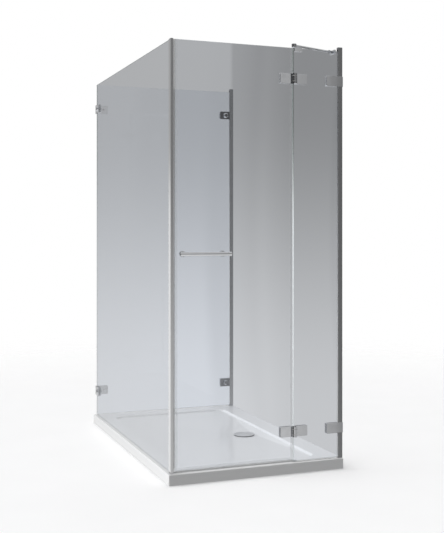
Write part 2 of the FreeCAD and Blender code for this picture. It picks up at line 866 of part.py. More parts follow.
def corner_bracket_pads(level):
    """Pads of one corner bracket, on both faces of both panes."""
    z_span = around(level, bracket_height - 2 * pad_inset)
    far_x = corner_end_x - pad_inset
    far_y = corner_end_y + pad_inset
    pads = [
        block((corner_side_outer, left_x), (far_y, rear_y), z_span),
        block((side_inner_x, corner_side_inner), (far_y, corner_rear_inner), z_span),
        block((left_x, far_x), (rear_y, corner_rear_outer), z_span),
        block((corner_side_inner, far_x), (corner_rear_inner, rear_inner_y), z_span)]
    side_hole = glass_hole(left_x, corner_screw_y, level, RIGHT)
    rear_hole = glass_hole(corner_screw_x, rear_y, level, BACK)
    return [pad.cut(side_hole).cut(rear_hole) for pad in pads]


def corner_bracket_screws(level):
    """Both screws of one corner bracket."""
    return [clamp_screw(start, axis, clamp_grip) for start, axis in corner_screw_starts(level)]


def corner_bracket_domes(level):
    """Cover buttons on the outer faces of a corner bracket."""
    side_start = Vector(corner_side_outer - bracket_thickness, corner_screw_y, level)
    rear_start = Vector(corner_screw_x, corner_rear_outer + bracket_thickness, level)
    return [dome(side_start, -RIGHT), dome(rear_start, BACK)]


# Brace


brace_clamp_x = (fixed_left + brace_clamp_inset, fixed_left + brace_clamp_inset + brace_clamp_length)
turret_foot = glass_top + brace_clamp_top
brace_z = turret_foot + turret_height / 2
turret_centre = Vector(brace_clamp_x[0] + turret_from_end, front_middle_y, brace_z)
brace_wall_point = Vector(wall_x, front_y + brace_wall_offset, brace_z)
brace_run = (brace_wall_point - turret_centre).Length
brace_axis = (brace_wall_point - turret_centre).normalize()


def brace_clamp():
    """Saddle on the fixed pane's top edge, with a round turret that takes the bar."""
    slot_y = (front_y - pad_thickness, front_inner_y + pad_thickness)
    body_y = (slot_y[0] - brace_clamp_wall, slot_y[1] + brace_clamp_wall)
    low = glass_top - brace_clamp_drop
    body = block(brace_clamp_x, body_y, (low, turret_foot))
    body = body.makeChamfer(plate_bevel, edges_along(body, UP))
    turret = rod(Vector(turret_centre.x, turret_centre.y, turret_foot), UP, turret_radius, turret_height)
    turret = turret.makeFillet(turret_round, edges_at(turret.Edges, UP, turret_foot + turret_height))
    slot_x = (brace_clamp_x[0] - overrun, brace_clamp_x[1] + overrun)
    slot = block(slot_x, slot_y, (low - overrun, glass_top + pad_thickness))
    socket = rod(turret_centre + brace_axis * brace_socket_start, brace_axis,
                 brace_bar_radius + brace_bar_clearance, turret_radius + overrun)
    return body.fuse(turret).cut(slot).cut(socket)


def brace_clamp_pad():
    """Rubber saddle between the clamp and the glass."""
    low = glass_top - brace_clamp_drop
    outer_y = front_y - pad_thickness
    inner_y = front_inner_y + pad_thickness
    top = glass_top + pad_thickness
    return along_x([
        (outer_y, low), (front_y, low), (front_y, glass_top), (front_inner_y, glass_top),
        (front_inner_y, low), (inner_y, low), (inner_y, top), (outer_y, top)], brace_clamp_x)


def brace_bar():
    """Round bar from the turret to the wall plate."""
    start = turret_centre + brace_axis * (brace_socket_start + brace_bar_clearance)
    length = brace_run - brace_bar_end_gap - brace_socket_start
    return rod(start, brace_axis, brace_bar_radius, length)


def brace_wall_plate():
    """Wall plate with a slanted boss for the bar and two screw holes."""
    body = block((wall_x - brace_plate_thickness, wall_x), around(brace_wall_point.y, brace_plate_length),
                 around(brace_z, brace_plate_height))
    body = body.makeFillet(brace_plate_round, edges_along(body, RIGHT))
    start = brace_wall_point - brace_axis * brace_boss_length
    body = body.fuse(rod(start, brace_axis, brace_boss_radius, brace_boss_length + brace_boss_radius))
    beyond = block((wall_x, wall_x + brace_boss_length), around(brace_wall_point.y, 2 * brace_boss_length),
                   around(brace_z, 2 * brace_boss_length))
    socket = rod(start - brace_axis * overrun, brace_axis, brace_bar_radius + brace_bar_clearance,
                 brace_boss_length + overrun - brace_bar_end_gap + brace_bar_clearance)
    body = body.cut(beyond).cut(socket)
    for y in around(brace_wall_point.y, brace_screw_spacing):
        start = Vector(wall_x - brace_plate_thickness - overrun, y, brace_z)
        body = body.cut(rod(start, RIGHT, brace_screw_radius, brace_plate_thickness + 2 * overrun))
    return body


# Handle


handle_y = front_y - handle_standoff


def handle_bar():
    """Round grab bar, level, outside the door."""
    body = rod(Vector(handle_left, handle_y, handle_z), RIGHT, handle_bar_radius, handle_length)
    return body.makeFillet(handle_end_round, body.Edges)


def handle_posts():
    """Two posts with foot flanges that carry the bar off the glass."""
    bar = rod(Vector(handle_left, handle_y, handle_z), RIGHT, handle_bar_radius, handle_length)
    foot_y = front_y - handle_washer_thickness
    posts = []
    for x in handle_post_places:
        flange = rod(Vector(x, foot_y, handle_z), -BACK, handle_flange_radius, handle_flange_thickness)
        show_edge = edges_at(flange.Edges, BACK, foot_y - handle_flange_thickness)
        flange = flange.makeChamfer(plate_bevel, show_edge)
        post = rod(Vector(x, foot_y, handle_z), -BACK, handle_post_radius, foot_y - handle_y)
        hole = rod(Vector(x, foot_y, handle_z), -BACK, screw_radius + screw_clearance, 2 * screw_bite)
        posts.append(flange.fuse(post).cut(bar).cut(hole))
    return posts


def handle_washers():
    """Clear washers on both faces of the glass under the handle."""
    washers = []
    for x in handle_post_places:
        for face_y in (front_y - handle_washer_thickness, front_inner_y):
            start = Vector(x, face_y, handle_z)
            ring = rod(start, BACK, handle_flange_radius, handle_washer_thickness)
            washers.append(ring.cut(rod(start, BACK, glass_hole_radius, handle_washer_thickness)))
    return washers


def handle_inner_caps():
    """Round caps inside the door, each with the screw that draws its post tight."""
    caps = []
    foot_y = front_inner_y + handle_washer_thickness
    for x in handle_post_places:
        cap = rod(Vector(x, foot_y, handle_z), BACK, handle_flange_radius, handle_cap_height)
        cap = cap.makeFillet(handle_cap_round, edges_at(cap.Edges, BACK, foot_y + handle_cap_height))
        grip = glass_thickness + 2 * handle_washer_thickness + screw_bite
        caps.append(cap.fuse(rod(Vector(x, foot_y, handle_z), -BACK, screw_radius, grip)))
    return caps


def pieces():
    """Every node by name, as one solid or a list of like solids."""
    front_cap = wall_profile_cap()
    front_gaskets = wall_profile_gaskets()
    table = {
        "shower_tray": shower_tray(),
        "waste_flange": waste_flange(),
        "waste_seal": waste_seal(),
        "drain_cover": drain_cover(),
        "door_glass": door_glass(),
        "fixed_panel_glass": fixed_panel_glass(),
        "side_panel_glass": side_panel_glass(),
        "rear_panel_glass": rear_panel_glass(),
        "corner_strike_profile": corner_strike_profile(),
        "corner_profile_cap": corner_profile_cap(),
        "corner_glazing_gasket": corner_glazing_gasket(),
        "corner_magnet_strip": corner_magnet_strip(),
        "front_wall_profile": front_wall_profile(),
        "rear_wall_profile": mirrored_front_to_rear(front_wall_profile()),
        "wall_profile_caps": [front_cap, mirrored_front_to_rear(front_cap)],
        "wall_profile_gaskets": front_gaskets + [mirrored_front_to_rear(strip) for strip in front_gaskets],
        "side_panel_foot_seal": side_panel_foot_seal(),
        "rear_panel_foot_seal": rear_panel_foot_seal(),
        "fixed_panel_foot_seal": fixed_panel_foot_seal(),
        "rear_corner_seal": rear_corner_seal(),
        "threshold_strip": threshold_strip(),
        "door_magnet_seal": door_magnet_seal(),
        "door_hinge_seal": door_hinge_seal(),
        "door_bottom_seal": door_bottom_seal(),
        "hinge_pins": [hinge_pin(level) for level in levels.values()],
        "hinge_washers": hinge_washers(),
        "hinge_door_clamps": [hinge_clamp(level, -1) for level in levels.values()],
        "hinge_fixed_clamps": [hinge_clamp(level, 1) for level in levels.values()],
        "hinge_door_pads": hinge_pads(-1),
        "hinge_fixed_pads": hinge_pads(1),
        "hinge_door_screws": hinge_screws(-1),
        "hinge_fixed_screws": hinge_screws(1),
        "brace_clamp": brace_clamp(),
        "brace_clamp_pad": brace_clamp_pad(),
        "brace_bar": brace_bar(),
        "brace_wall_plate": brace_wall_plate(),
        "handle_bar": handle_bar(),
        "handle_posts": handle_posts(),
        "handle_washers": handle_washers(),
        "handle_inner_caps": handle_inner_caps(),
        "bracket_pads": [],
        "bracket_screws": [],
        "bracket_domes": [],
    }
    for name, level in levels.items():
        table[name + "_hinge_door_leaf"] = hinge_door_leaf(level)
        table[name + "_hinge_fixed_leaf"] = hinge_fixed_leaf(level)
        table[name + "_front_wall_bracket"] = wall_bracket(level)
        table[name + "_front_bracket_clamp"] = wall_bracket_clamp(level)
        table[name + "_rear_wall_bracket"] = mirrored_front_to_rear(wall_bracket(level))
        table[name + "_rear_bracket_clamp"] = mirrored_front_to_rear(wall_bracket_clamp(level))
        table[name + "_corner_bracket"] = corner_bracket(level)
        table[name + "_corner_bracket_clamp"] = corner_bracket_clamp(level)
        groups = {
            "bracket_pads": wall_bracket_pads(level),
            "bracket_screws": [wall_bracket_screw(level)],
            "bracket_domes": [wall_bracket_dome(level)],
        }
        for group, solids in groups.items():
            table[group] += solids + [mirrored_front_to_rear(solid) for solid in solids]
        table["bracket_pads"] += corner_bracket_pads(level)
        table["bracket_screws"] += corner_bracket_screws(level)
        table["bracket_domes"] += corner_bracket_domes(level)
    return table


os.makedirs("parts", exist_ok=True)
for node, shape in pieces().items():
    if isinstance(shape, list):
        shape = Part.makeCompound(shape)
    shape.exportStep("parts/" + node + ".step")
    print(node, len(shape.Solids), round(shape.Volume), shape.isValid())
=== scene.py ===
# %% [markdown]
# # A glass shower cabin in a studio
#
# The cabin stands on a low white tray: a hinged door and a narrow fixed pane at the front, a long
# pane on the left and one at the rear. Its right side is open. All solids come from the CAD model, so
# this lesson gives them their finishes, turns the small socket screws, whose heads are plain in the
# solids, and lights the whole. Metres throughout, with the tray's underside at height zero.

# %% Load the frame
import json
import math

import bmesh
import bpy
import numpy as np
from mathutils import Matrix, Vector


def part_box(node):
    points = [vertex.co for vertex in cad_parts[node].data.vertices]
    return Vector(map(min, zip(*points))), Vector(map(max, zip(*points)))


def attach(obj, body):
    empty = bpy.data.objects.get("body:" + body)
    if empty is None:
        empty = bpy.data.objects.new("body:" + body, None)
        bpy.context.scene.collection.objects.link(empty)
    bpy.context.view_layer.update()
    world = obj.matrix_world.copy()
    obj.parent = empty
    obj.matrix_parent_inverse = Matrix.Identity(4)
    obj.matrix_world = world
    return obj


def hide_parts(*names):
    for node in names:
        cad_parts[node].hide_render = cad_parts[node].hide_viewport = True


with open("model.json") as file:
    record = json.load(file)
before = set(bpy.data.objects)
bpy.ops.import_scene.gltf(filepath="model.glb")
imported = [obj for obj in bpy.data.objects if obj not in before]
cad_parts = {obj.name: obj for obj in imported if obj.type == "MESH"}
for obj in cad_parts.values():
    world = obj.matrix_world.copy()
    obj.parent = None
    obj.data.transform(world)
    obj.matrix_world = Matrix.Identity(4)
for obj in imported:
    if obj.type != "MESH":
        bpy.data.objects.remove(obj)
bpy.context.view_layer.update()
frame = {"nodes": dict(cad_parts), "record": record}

nodes = frame["nodes"]

# %% [markdown]
# ## Camera
#
# The picture was taken by a level camera, so upright lines stay parallel in it. A view camera does that
# with a raised back, and Blender does it with the camera's vertical shift. The focal length is kept in
# pixels of a 444 by 533 picture, as a camera fit gives it, and turned into millimetres of a 36 mm sensor.

# %% Camera
PICTURE_WIDTH = 444
PICTURE_HEIGHT = 533
FOCAL_PIXELS = 929.2
HORIZON_ROW = 229.77
SENSOR_WIDTH = 36.0
CAMERA_PLACE = (-1.740, -4.802, 1.172)
CAMERA_YAW = -20.94
LEVEL_PITCH = 90.0

long_side = max(PICTURE_WIDTH, PICTURE_HEIGHT)
lens = bpy.data.cameras.new("studio_camera")
lens.sensor_width = SENSOR_WIDTH
lens.lens = SENSOR_WIDTH * FOCAL_PIXELS / long_side
lens.shift_y = (HORIZON_ROW - PICTURE_HEIGHT / 2) / long_side
camera = bpy.data.objects.new("studio_camera", lens)
camera.location = CAMERA_PLACE
camera.rotation_euler = (math.radians(LEVEL_PITCH), 0, math.radians(CAMERA_YAW))
bpy.context.scene.collection.objects.link(camera)
bpy.context.scene.camera = camera
print(f"lens in mm: {lens.lens:.2f} shift: {lens.shift_y:.4f}")

# %% [markdown]
# ## Writing shader maths as Python
#
# A finish is a small formula: roughness is a little more where a smudge lies, colour is darker near an
# edge. Drawn by hand that is a web of Math nodes. One small class lets the formula be typed instead. It
# holds one socket, each operator adds one Math node, and its node method adds any other node.


# %% Sockets that can be added and multiplied
class Wire:
    """One socket of a node tree. Sums and products of wires add Math nodes to the tree."""

    def __init__(self, tree, socket=None):
        self.tree = tree
        self.socket = socket

    def node(self, kind, settings=None, values=None, out=0):
        """Add a node: its settings first, then its sockets' values or links. Returns one of its outputs."""
        made = self.tree.nodes.new(kind)
        for name, setting in (settings or {}).items():
            setattr(made, name, setting)
        for name, value in (values or {}).items():
            if isinstance(value, Wire):
                self.tree.links.new(value.socket, made.inputs[name])
            else:
                made.inputs[name].default_value = value
        return Wire(self.tree, made.outputs[out] if made.outputs else None)

    def math(self, operation, *terms):
        """Add one Math node, whose terms are wires or plain numbers."""
        return self.node("ShaderNodeMath", {"operation": operation}, dict(enumerate(terms)))

    def __add__(self, other):
        return self.math("ADD", self, other)

    def __sub__(self, other):
        return self.math("SUBTRACT", self, other)

    def __rsub__(self, other):
        return self.math("SUBTRACT", other, self)

    def __mul__(self, other):
        return self.math("MULTIPLY", self, other)

    def __neg__(self):
        return self.math("SUBTRACT", 0, self)

    def __abs__(self):
        return self.math("ABSOLUTE", self)

    __radd__ = __add__
    __rmul__ = __mul__


print("sockets are wrapped by:", Wire.__name__)

# %% [markdown]
# ## Starting and ending a finish
#
# Every finish is a material with its own node tree, which starts empty, gets one or two surface shaders
# and ends in the material's output. Points are read as Object coordinates. Every piece sits at the
# origin, so these are plain metres in the cabin's own frame.


# %% Starting and ending a finish
def start_finish(name):
    """An empty material, and a wire into its node tree."""
    material = bpy.data.materials.new(name)
    material.use_nodes = True
    material.node_tree.nodes.clear()
    return material, Wire(material.node_tree)


def principled(wire, values):
    """The all-round surface shader, with the given sockets set."""
    return wire.node("ShaderNodeBsdfPrincipled", None, values)


def end_finish(wire, surface):
    """Join the surface to the material's output."""
    wire.node("ShaderNodeOutputMaterial", None, {"Surface": surface})


def place_on_piece(wire):
    """Where a point lies, in metres of the cabin's frame."""
    return wire.node("ShaderNodeTexCoord", out="Object")


finishes = {}
print("finishes so far:", len(finishes))

# %% [markdown]
# ## Patterns
#
# Most finishes need the same few patterns: a soft step from zero to one, a cloudy noise, a blend of two
# colours and a bump. Each is one short function on a wire, so that a finish reads as its formula.

# %% Patterns
CLOUD_DETAIL = 2.0
# A Mix node's colour sockets go by number, because it has sockets of the same names for other kinds of data.
MIX_FIRST, MIX_SECOND, MIX_COLOUR = 6, 7, 2


def split(place):
    """The three coordinates of a place."""
    parts = place.node("ShaderNodeSeparateXYZ", None, {"Vector": place})
    return [Wire(place.tree, output) for output in parts.socket.node.outputs]


def step_up(value, start, end):
    """Zero below start, one above end, and an S-shaped rise between them."""
    settings = {"interpolation_type": "SMOOTHSTEP"}
    return value.node("ShaderNodeMapRange", settings, {"Value": value, "From Min": start, "From Max": end})


def stretched(place, scales):
    """The place with each axis scaled by itself, to draw a pattern out along one axis."""
    return place.node("ShaderNodeVectorMath", {"operation": "MULTIPLY"}, {0: place, 1: scales})


def clouds(place, scale, detail=CLOUD_DETAIL):
    """Cloudy noise from zero to one, with a given number of clouds to the metre."""
    return place.node("ShaderNodeTexNoise", None, {"Vector": place, "Scale": scale, "Detail": detail})


def blend(mask, first, second):
    """First colour where the mask is zero, second where it is one."""
    values = {"Factor": mask, MIX_FIRST: (*first, 1), MIX_SECOND: (*second, 1)}
    return mask.node("ShaderNodeMix", {"data_type": "RGBA"}, values, out=MIX_COLOUR)


def relief(height, strength, depth):
    """A bumped normal from a height pattern, with its depth in metres."""
    return height.node("ShaderNodeBump", None, {"Height": height, "Strength": strength, "Distance": depth})


print("patterns:", [pattern.__name__ for pattern in (step_up, stretched, clouds, blend, relief)])

# %% [markdown]
# ## Glass
#
# The panes are clear toughened glass, 8 mm thick. Looked through, such glass is only a shade cooler and
# darker than air. Its edges are ground matt. The light that they give off has come a long way inside the
# pane, so they are pale where the white tray is near and dark green at the top. This is painted into the
# edge colour: a painted glow at the foot, and painted shade over the glass's own green at the top. The
# edges could be strips of their own, but the real pane is one piece. So it has two finishes, and a mask
# chooses between them.
# The mask comes from the pane's own box: a point's distance from the outline is the smaller of the gaps
# to the pane's ends.

# %% Glass
GLASS_FACE = (0.925, 0.948, 0.985)
GLASS_INDEX = 1.5
# Edge colours: a painted glow at the foot, and painted shade over the glass's own green at the top.
EDGE_FOOT_PAINTED_GLOW = (0.48, 0.525, 0.545)
EDGE_TOP_GREEN_PAINTED_SHADE = (0.12, 0.17, 0.155)
EDGE_PAINTED_SHADING = (1.2, 1.8)
EDGE_BAND = 0.0006
EDGE_DULLNESS = 0.45
GRINDING = 400.0
GRINDING_SPREAD = 0.25


def pane_glass(node):
    """Clear glass for one pane. Edge mask: one at the outline, zero a band's width inside it."""
    material, wire = start_finish(node + "_finish")
    low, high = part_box(node)
    size = high - low
    thin = min(range(3), key=lambda axis: size[axis])
    spot = place_on_piece(wire)
    place = split(spot)
    gaps = []
    for axis in range(3):
        if axis != thin:
            gaps.append(size[axis] / 2 - abs(place[axis] - (low[axis] + high[axis]) / 2))
    edge = 1 - step_up(wire.math("MINIMUM", *gaps), 0, EDGE_BAND)
    clear = principled(wire, {
        "Base Color": (*GLASS_FACE, 1), "Roughness": 0, "Transmission Weight": 1, "IOR": GLASS_INDEX})
    # Painted light on the ground edge: the glow near the tray gives way to painted shade with height.
    height = step_up(place[2] + GRINDING_SPREAD * clouds(spot, GRINDING), *EDGE_PAINTED_SHADING)
    ground = principled(wire, {
        "Base Color": blend(height, EDGE_FOOT_PAINTED_GLOW, EDGE_TOP_GREEN_PAINTED_SHADE), "Roughness": EDGE_DULLNESS,
        "Specular IOR Level": 0})
    end_finish(wire, wire.node("ShaderNodeMixShader", None, {"Fac": edge, 1: clear, 2: ground}))
    return material


PANES = ("door_glass", "fixed_panel_glass", "side_panel_glass", "rear_panel_glass")
for pane in PANES:
    finishes[pane] = pane_glass(pane)
print("panes:", len(finishes))

# %% [markdown]
# ## White tray
#
# The tray is cast acrylic: white, glossy, and very slightly wavy, which shows only in its reflections. The
# waves could be modelled, but a tenth of a millimetre is a matter for a bump. Broad clouds shift the white
# by a hair, and others vary the polish.

# %% White tray
TRAY_WHITE = (0.78, 0.785, 0.79)
TRAY_SHADE = (0.765, 0.77, 0.778)
TRAY_CLOUDS = 5.0
TRAY_WAVES = 7.0
TRAY_WAVE_STRENGTH = 0.3
TRAY_WAVE_DEPTH = 0.0001
TRAY_DULLNESS = 0.12
TRAY_DULLNESS_SPREAD = 0.02
POLISH_CLOUDS = 3.0


def tray_acrylic():
    """Glossy white: clouds for its colour and polish, and waves for its surface."""
    material, wire = start_finish("tray_white_finish")
    place = place_on_piece(wire)
    end_finish(wire, principled(wire, {
        "Base Color": blend(clouds(place, TRAY_CLOUDS), TRAY_WHITE, TRAY_SHADE),
        "Roughness": TRAY_DULLNESS + TRAY_DULLNESS_SPREAD * clouds(place, POLISH_CLOUDS),
        "Normal": relief(clouds(place, TRAY_WAVES), TRAY_WAVE_STRENGTH, TRAY_WAVE_DEPTH)}))
    return material


finishes["tray_white"] = tray_acrylic()
print("tray finish:", finishes["tray_white"].name)

# %% [markdown]
# ## Chrome
#
# Hinges, brackets, brace and handle are chromed brass. Chrome has hardly a colour of its own: what shows
# is what stands round it, and the thin film that hands leave. A plain mirror would look too clean, so the
# roughness and the colour follow soft smudges.

# %% Chrome
CHROME = (0.80, 0.81, 0.83)
CHROME_FILM = (0.72, 0.73, 0.75)
CHROME_DULLNESS = 0.03
CHROME_DULLNESS_SPREAD = 0.09
SMUDGES = 35.0
SMUDGE_DETAIL = 4.0


def smudged_chrome():
    """A metal mirror, duller and darker where a smudge lies."""
    material, wire = start_finish("chrome_finish")
    smudge = clouds(place_on_piece(wire), SMUDGES, SMUDGE_DETAIL)
    end_finish(wire, principled(wire, {
        "Base Color": blend(smudge, CHROME, CHROME_FILM), "Metallic": 1,
        "Roughness": CHROME_DULLNESS + CHROME_DULLNESS_SPREAD * smudge}))
    return material


finishes["chrome"] = smudged_chrome()
print("chrome finish:", finishes["chrome"].name)

# %% [markdown]
# ## Drain cover and waste
#
# The drain cover and the waste's flange are turned on a lathe and left satin, so their polish runs in
# rings. Rings could be cut into the mesh, but they are far finer than a face. A sine of the distance from
# the drain's axis gives them instead.

# %% Drain cover and waste
COVER = (0.70, 0.705, 0.71)
COVER_RING = (0.64, 0.645, 0.65)
COVER_DULLNESS = 0.42
STEEL = (0.60, 0.60, 0.61)
STEEL_SHADE = (0.50, 0.50, 0.51)
WASTE_DULLNESS = 0.20
RING_DULLNESS = 0.08
RING_PITCH = 0.00157
HALF = 0.5


def rings_about(wire, centre):
    """Turning marks: half of one plus the sine of the distance from an upright axis, one wave to a pitch."""
    flat = stretched(place_on_piece(wire), (1, 1, 0))
    middle = (centre[0], centre[1], 0)
    distance = flat.node("ShaderNodeVectorMath", {"operation": "DISTANCE"}, {0: flat, 1: middle}, out="Value")
    return HALF + HALF * wire.math("SINE", distance * (2 * math.pi / RING_PITCH))


def turned_metal(name, centre, light, dark, dullness):
    """Metal turned on a lathe about an upright axis."""
    material, wire = start_finish(name)
    rings = rings_about(wire, centre)
    end_finish(wire, principled(wire, {
        "Base Color": blend(rings, light, dark), "Metallic": 1,
        "Roughness": dullness + RING_DULLNESS * rings}))
    return material


low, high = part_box("drain_cover")
drain_axis = (low + high) / 2
finishes["drain_cover"] = turned_metal("drain_cover_finish", drain_axis, COVER, COVER_RING, COVER_DULLNESS)
finishes["waste_flange"] = turned_metal("waste_flange_finish", drain_axis, STEEL, STEEL_SHADE, WASTE_DULLNESS)
print("drain axis:", [f"{value:.4f}" for value in drain_axis])

# %% [markdown]
# ## Anodised aluminium
#
# The upright profiles are extruded and bright anodised: the die leaves fine lines along their length, so
# the reflection is smeared across them. Noise that is squeezed across the profile and drawn out along it
# gives such lines. The threshold lies along the door, so its lines run that way. The picture shows the
# threshold paler and the front profile at the open side darker, so these two get painted light and painted
# shade: a paler and a darker copy of the same aluminium.

# %% Anodised aluminium
ALUMINIUM = (0.82, 0.825, 0.835)
ALUMINIUM_LINE = (0.74, 0.745, 0.755)
# Painted light: a paler copy of the aluminium for the threshold. Painted shade: a darker copy for the front
# profile.
ALUMINIUM_PAINTED_LIGHT = (0.90, 0.905, 0.91)
ALUMINIUM_PAINTED_LIGHT_LINE = (0.84, 0.845, 0.85)
ALUMINIUM_PAINTED_SHADE = (0.46, 0.465, 0.475)
ALUMINIUM_PAINTED_SHADE_LINE = (0.40, 0.405, 0.415)
ALUMINIUM_DULLNESS = 0.10
LINE_DULLNESS = 0.10
LINES_ACROSS = 900.0
LINES_ALONG = 2.0
LINE_DETAIL = 3.0
LINE_STRENGTH = 0.25
LINE_DEPTH = 0.00003
ALONG_X, ALONG_Z = 0, 2


def extruded_aluminium(name, along, light, dark):
    """Die lines along one axis: noise with few clouds along it and many across it."""
    material, wire = start_finish(name)
    scales = [LINES_ACROSS] * 3
    scales[along] = LINES_ALONG
    lines = clouds(stretched(place_on_piece(wire), scales), 1, LINE_DETAIL)
    end_finish(wire, principled(wire, {
        "Base Color": blend(lines, light, dark), "Metallic": 1,
        "Roughness": ALUMINIUM_DULLNESS + LINE_DULLNESS * lines,
        "Normal": relief(lines, LINE_STRENGTH, LINE_DEPTH)}))
    return material


for part, along, light, dark in (
        ("anodised", ALONG_Z, ALUMINIUM, ALUMINIUM_LINE), ("threshold_strip", ALONG_X, ALUMINIUM_PAINTED_LIGHT, ALUMINIUM_PAINTED_LIGHT_LINE),
        ("front_wall_profile", ALONG_Z, ALUMINIUM_PAINTED_SHADE, ALUMINIUM_PAINTED_SHADE_LINE)):
    finishes[part] = extruded_aluminium(part + "_finish", along, light, dark)
    print("aluminium finish:", finishes[part].name)

# %% [markdown]
# ## Stainless steel
#
# Screws and hinge pins are satin stainless steel. They are small, so a fine grain in the colour and the
# polish is enough, and it needs no direction.

# %% Stainless steel
STEEL_GRAIN = 700.0
STEEL_DULLNESS = 0.22
STEEL_DULLNESS_SPREAD = 0.15


def satin_steel():
    """Grey metal whose colour and polish follow one fine grain."""
    material, wire = start_finish("stainless_finish")
    grain = clouds(place_on_piece(wire), STEEL_GRAIN)
    end_finish(wire, principled(wire, {
        "Base Color": blend(grain, STEEL, STEEL_SHADE), "Metallic": 1,
        "Roughness": STEEL_DULLNESS + STEEL_DULLNESS_SPREAD * grain}))
    return material


finishes["stainless"] = satin_steel()
print("metals:", [name for name in finishes if name not in PANES])

# %% [markdown]
# ## Seals
#
# The seals are clear vinyl, thin and a little milky. A true glass shader would bend the light in every
# thin skin, and the real ones hardly do. So most of the surface is simply left open, and the rest is a pale
# skin. The door's magnetic seal is milkier, because of the magnet inside it. The hinge seal looks clear at
# its foot and grey at its top, so its cover rises with height. That grey is painted shade, and so is the
# rise of the magnetic seal's cover with height, over its own milk.

# %% Seals
VINYL = (0.86, 0.88, 0.88)
VINYL_SHADE = (0.81, 0.83, 0.83)
VINYL_GRAIN = 200.0
VINYL_DULLNESS = 0.18
VINYL_DULLNESS_SPREAD = 0.15
VINYL_COVER = 0.05
MILKY = (0.55, 0.56, 0.57)
MILKY_FOOT_COVER = 0.25
MILKY_COVER_WITH_PAINTED_SHADE = 0.45
MILKY_BORDER = 0.0005
# Painted shade: the hinge seal's grey, and the rise of both door seals' cover towards the top.
HINGE_PAINTED_SHADE = (0.26, 0.28, 0.28)
HINGE_PAINTED_SHADE_COVER = 0.85
SEAL_PAINTED_SHADING = (1.25, 1.75)


def clear_vinyl():
    """A pale skin that covers little of what lies behind it."""
    material, wire = start_finish("seal_clear_finish")
    grain = clouds(place_on_piece(wire), VINYL_GRAIN)
    end_finish(wire, principled(wire, {
        "Base Color": blend(grain, VINYL, VINYL_SHADE), "Alpha": VINYL_COVER,
        "Roughness": VINYL_DULLNESS + VINYL_DULLNESS_SPREAD * grain}))
    return material


def door_edge_vinyl(name, milk_and_painted_shade, lowest_cover, highest_cover):
    """Milky beyond the door's upright edges, with painted shade rising with height, and clear over the glass.
    """
    material, wire = start_finish(name)
    place = place_on_piece(wire)
    across, _, height = split(place)
    low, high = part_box("door_glass")
    beyond = abs(across - (low[0] + high[0]) / 2) - (high[0] - low[0]) / 2
    head = step_up(beyond, 0, MILKY_BORDER)
    # Painted shade: the cover rises with height, so the seal greys towards the top.
    cover = lowest_cover + (highest_cover - lowest_cover) * step_up(height, *SEAL_PAINTED_SHADING)
    end_finish(wire, principled(wire, {
        "Base Color": blend(head, VINYL, milk_and_painted_shade), "Alpha": VINYL_COVER + (cover - VINYL_COVER) * head,
        "Roughness": VINYL_DULLNESS + VINYL_DULLNESS_SPREAD * clouds(place, VINYL_GRAIN)}))
    return material


finishes["seal_clear"] = clear_vinyl()
for seal, milk_and_painted_shade, lowest_cover, highest_cover in (
        ("door_magnet_seal", MILKY, MILKY_FOOT_COVER, MILKY_COVER_WITH_PAINTED_SHADE),
        ("door_hinge_seal", HINGE_PAINTED_SHADE, VINYL_COVER, HINGE_PAINTED_SHADE_COVER)):
    finishes[seal] = door_edge_vinyl(seal + "_finish", milk_and_painted_shade, lowest_cover, highest_cover)
print("seals:", [name for name in finishes if "seal" in name])

# %% [markdown]
# ## Magnet strip, rubber and nylon
#
# The strip that the door's seal meets is grey plastic over a magnet. The corner gasket is dark rubber, the
# pads between plates and glass are pale rubber, and the washers in the hinges are nylon. All are moulded
# with a fine grain, so one function makes them. The pads share one finish.

# %% Magnet strip, rubber and nylon
MAGNET_GREY = (0.62, 0.63, 0.64)
MAGNET_SHADE = (0.56, 0.57, 0.58)
MAGNET_DULLNESS = 0.40
RUBBER = (0.035, 0.035, 0.037)
RUBBER_BLOOM = (0.06, 0.06, 0.062)
RUBBER_DULLNESS = 0.60
PAD = (0.52, 0.52, 0.525)
PAD_BLOOM = (0.58, 0.58, 0.585)
NYLON = (0.74, 0.74, 0.71)
NYLON_SHADE = (0.68, 0.68, 0.65)
NYLON_DULLNESS = 0.40
GRAIN = 900.0
GRAIN_DULLNESS = 0.15
GRAIN_STRENGTH = 0.3
GRAIN_DEPTH = 0.00004


def grained_plastic(name, light, dark, dullness):
    """Plain plastic or rubber: a fine grain shifts its colour, its polish and its surface."""
    material, wire = start_finish(name)
    grain = clouds(place_on_piece(wire), GRAIN)
    end_finish(wire, principled(wire, {
        "Base Color": blend(grain, light, dark), "Roughness": dullness + GRAIN_DULLNESS * grain,
        "Normal": relief(grain, GRAIN_STRENGTH, GRAIN_DEPTH)}))
    return material


for slot, light, dark, dullness in (
        ("magnet_grey", MAGNET_GREY, MAGNET_SHADE, MAGNET_DULLNESS),
        ("rubber_grey", RUBBER, RUBBER_BLOOM, RUBBER_DULLNESS),
        ("nylon", NYLON, NYLON_SHADE, NYLON_DULLNESS)):
    finishes[slot] = grained_plastic(slot + "_finish", light, dark, dullness)
pale_rubber = grained_plastic("pad_finish", PAD, PAD_BLOOM, RUBBER_DULLNESS)
for pads in ("hinge_door_pads", "hinge_fixed_pads", "bracket_pads", "brace_clamp_pad"):
    finishes[pads] = pale_rubber
print("pads share:", pale_rubber.name)

# %% [markdown]
# ## Profile gaskets
#
# The gaskets that hold the panes in the upright profiles are pale vinyl. Near the tray they catch its white,
# and further up they look grey. The light that bounces off the tray does some of that, but too little to
# show on so thin a piece. So the colour itself darkens with height.

